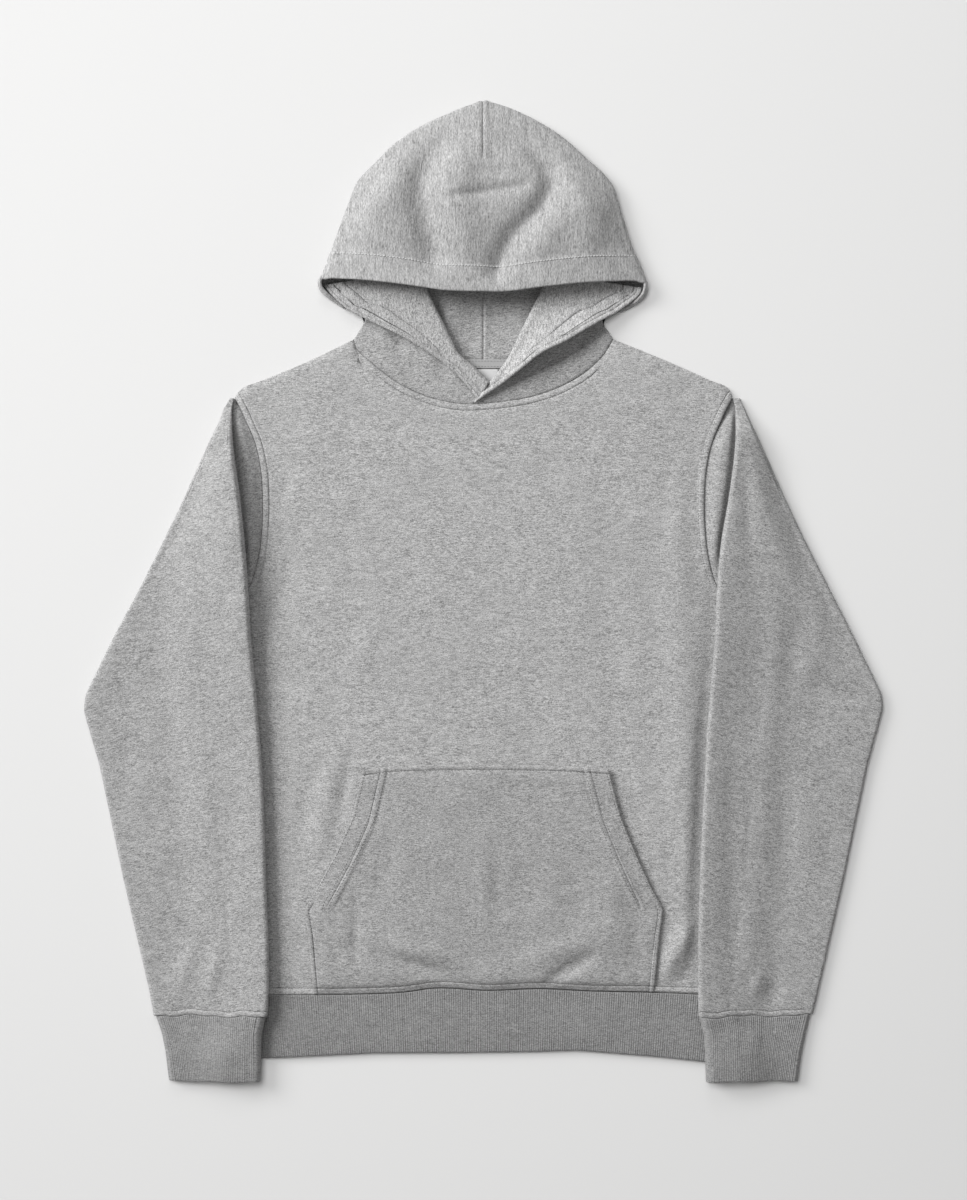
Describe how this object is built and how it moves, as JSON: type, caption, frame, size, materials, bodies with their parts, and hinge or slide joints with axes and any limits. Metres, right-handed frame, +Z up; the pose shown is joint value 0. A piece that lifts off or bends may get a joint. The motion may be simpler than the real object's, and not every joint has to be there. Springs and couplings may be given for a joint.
{
  "type": "pullover hoodie",
  "caption": "Pullover hooded sweatshirt laid flat, with a kangaroo pocket, ribbed hem and cuffs, sleeves folded over its sides and the hood opened out above.",
  "frame": {"origin": "centre of the laid garment's footprint, on the surface that its back rests on", "axes": "+Y from the hem up to the top of the hood, +Z up off the surface towards the front of the garment, +X to the right as it is seen from above"},
  "size_m": [0.766, 0.9365, 0.034],
  "materials": {
    "grey_heather_fleece": "matt brushed fleece, grey heather",
    "grey_heather_rib": "matt ribbed knit, grey heather",
    "grey_tape": "matt knit tape",
    "white_label": "smooth blank woven label"
  },
  "bodies": {
    "root": {"front_panel": "grey_heather_fleece", "back_panel": "grey_heather_fleece", "sleeve_left": "grey_heather_fleece", "sleeve_right": "grey_heather_fleece", "pocket": "grey_heather_fleece", "hood_crown": "grey_heather_fleece", "hood_side_left": "grey_heather_fleece", "hood_side_right": "grey_heather_fleece", "hem_rib": "grey_heather_rib", "cuff_left": "grey_heather_rib", "cuff_right": "grey_heather_rib", "neck_tape": "grey_tape", "neck_label": "white_label"}
  },
  "joints": []
}
